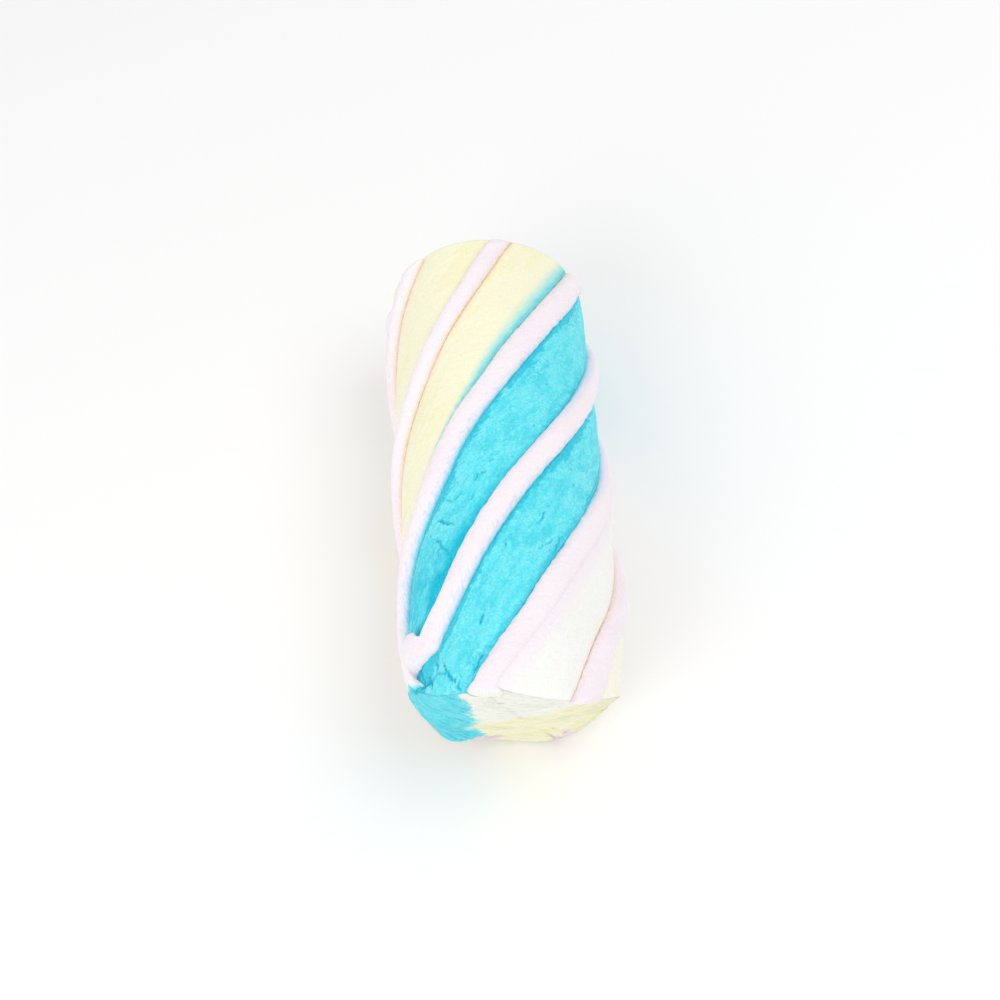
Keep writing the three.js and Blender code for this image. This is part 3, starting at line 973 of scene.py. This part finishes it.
# %% [markdown]
# ## Marshmallow
#
# Marshmallow is a very fine foam under a dusting of starch. It is matt, it lets a little light
# in, and close up it shows a grain of tiny bubbles. The colour comes from the attribute, dye with
# painted shade and painted reflections in it, and fine noise on Object coordinates breaks it up.
# Bump adds three sizes of relief that the mesh is too coarse for: the grain, small dimples, and
# wrinkles that run across the strand, which read the UV map. The numbers that are the same all
# over are set on the shader itself.

# %% Marshmallow
def add(tree, kind, **settings):
    node = tree.nodes.new(kind)
    for name, value in settings.items():
        setattr(node, name, value)
    return node


def noise_texture(tree, coordinates, scale, detail, stretch=(1.0, 1.0, 1.0), distortion=0.0):
    mapping = add(tree, "ShaderNodeMapping")
    mapping.inputs["Scale"].default_value = stretch
    texture = add(tree, "ShaderNodeTexNoise")
    texture.inputs["Scale"].default_value = scale
    texture.inputs["Detail"].default_value = detail
    texture.inputs["Distortion"].default_value = distortion
    tree.links.new(coordinates, mapping.inputs["Vector"])
    tree.links.new(mapping.outputs["Vector"], texture.inputs["Vector"])
    return texture.outputs["Fac"]


def remapped(tree, value, low, high, to_low, to_high):
    node = add(tree, "ShaderNodeMapRange")
    limits = {"From Min": low, "From Max": high, "To Min": to_low, "To Max": to_high}
    for name, number in limits.items():
        node.inputs[name].default_value = number
    tree.links.new(value, node.inputs["Value"])
    return node.outputs["Result"]


def bumped(tree, height, millimetres, normal=None):
    node = add(tree, "ShaderNodeBump")
    node.inputs["Strength"].default_value = 1.0
    node.inputs["Distance"].default_value = millimetres / 1000
    tree.links.new(height, node.inputs["Height"])
    if normal is not None:
        tree.links.new(normal, node.inputs["Normal"])
    return node.outputs["Normal"]


def marshmallow(name, speckle, wrinkle_mm, wrinkle_stretch):
    material = bpy.data.materials.new(name)
    material.use_nodes = True
    tree = material.node_tree
    shader = tree.nodes["Principled BSDF"]
    shader.inputs["Subsurface Weight"].default_value = 0.25
    shader.inputs["Subsurface Radius"].default_value = (1.0, 0.8, 0.75)
    shader.inputs["Subsurface Scale"].default_value = 0.0012
    shader.inputs["Sheen Weight"].default_value = 0.12
    shader.inputs["Sheen Roughness"].default_value = 0.5
    shader.inputs["Specular IOR Level"].default_value = 0.25

    coordinates = add(tree, "ShaderNodeTexCoord")
    grain = noise_texture(tree, coordinates.outputs["Object"], 3400, 3.0)
    dimples = noise_texture(tree, coordinates.outputs["Object"], 1500, 2.0)
    wrinkles = noise_texture(tree, coordinates.outputs["UV"], 1.0, 2.0, wrinkle_stretch)
    cut = add(tree, "ShaderNodeAttribute", attribute_name="cut")

    colour_attribute = add(tree, "ShaderNodeAttribute", attribute_name="dye_and_painted_light")
    tinted = add(tree, "ShaderNodeMix", data_type="RGBA", blend_type="MULTIPLY")
    tree.links.new(remapped(tree, cut.outputs["Fac"], 0.0, 1.0, 1.0, 0.15), tinted.inputs["Factor"])
    tree.links.new(colour_attribute.outputs["Color"], tinted.inputs["A"])
    tree.links.new(remapped(tree, grain, 0.3, 0.7, 1 - speckle, 1 + speckle), tinted.inputs["B"])
    tree.links.new(tinted.outputs["Result"], shader.inputs["Base Color"])
    tree.links.new(remapped(tree, dimples, 0.3, 0.7, 0.72, 0.9), shader.inputs["Roughness"])

    normal = bumped(tree, dimples, 0.10)
    normal = bumped(tree, grain, 0.06, normal)
    deeper = add(tree, "ShaderNodeMath", operation="MULTIPLY")
    tree.links.new(wrinkles, deeper.inputs[0])
    tree.links.new(remapped(tree, cut.outputs["Fac"], 0.0, 1.0, 1.0, 7.0), deeper.inputs[1])
    normal = bumped(tree, deeper.outputs["Value"], wrinkle_mm, normal)
    tree.links.new(normal, shader.inputs["Normal"])
    return material


foams = {
    "cyan": marshmallow("cyan marshmallow", 0.12, 0.10, (90, 60, 1)),
    "white": marshmallow("white marshmallow", 0.02, 0.10, (90, 60, 1)),
    "yellow": marshmallow("yellow marshmallow", 0.025, 0.10, (90, 60, 1)),
    "pink": marshmallow("pink marshmallow", 0.02, 0.12, (130, 6, 1)),
}
for piece, (_, slot, _, _) in zip(strands, STRANDS):
    piece.data.materials.append(foams[slot])
for piece in ropes:
    piece.data.materials.append(foams["pink"])
print("materials:", [material.name for material in foams.values()])

# %% [markdown]
# ## The table and the light
#
# The sweet lies on a plain pale table. The photograph is bright and soft, with hardly any
# shadow, so most of the light comes from the white surroundings, and two large lamps give the
# ropes their gentle shape: one high on the right, and a weaker one from the near left.

# %% The table and the light
table_mesh = bpy.data.meshes.new("table")
bm = bmesh.new()
bmesh.ops.create_grid(bm, x_segments=1, y_segments=1, size=1.5)
bm.to_mesh(table_mesh)
bm.free()
table = bpy.data.objects.new("table", table_mesh)
bpy.context.scene.collection.objects.link(table)
paint = bpy.data.materials.new("pale table")
paint.use_nodes = True
paint.node_tree.nodes["Principled BSDF"].inputs["Base Color"].default_value = (0.97, 0.97, 0.97, 1)
paint.node_tree.nodes["Principled BSDF"].inputs["Roughness"].default_value = 0.8
table_mesh.materials.append(paint)


def add_lamp(name, place, size, watts):
    lamp = bpy.data.lights.new(name, "AREA")
    lamp.shape = "DISK"
    lamp.size = size
    lamp.energy = watts
    holder = bpy.data.objects.new(name, lamp)
    holder.location = place
    towards_sweet = Vector((0, 0, 0.01)) - Vector(place)
    holder.rotation_euler = towards_sweet.to_track_quat("-Z", "Y").to_euler()
    bpy.context.scene.collection.objects.link(holder)


add_lamp("high right lamp", (0.22, -0.02, 0.42), 0.34, 0.52)
add_lamp("near left lamp", (-0.28, -0.30, 0.28), 0.35, 0.60)
surroundings = bpy.data.worlds.new("white surroundings")
surroundings.use_nodes = True
surroundings.node_tree.nodes["Background"].inputs["Color"].default_value = (1, 1, 1, 1)
surroundings.node_tree.nodes["Background"].inputs["Strength"].default_value = 0.735
bpy.context.scene.world = surroundings
bpy.context.scene.view_settings.view_transform = "Standard"
print("lamps and surroundings are on")
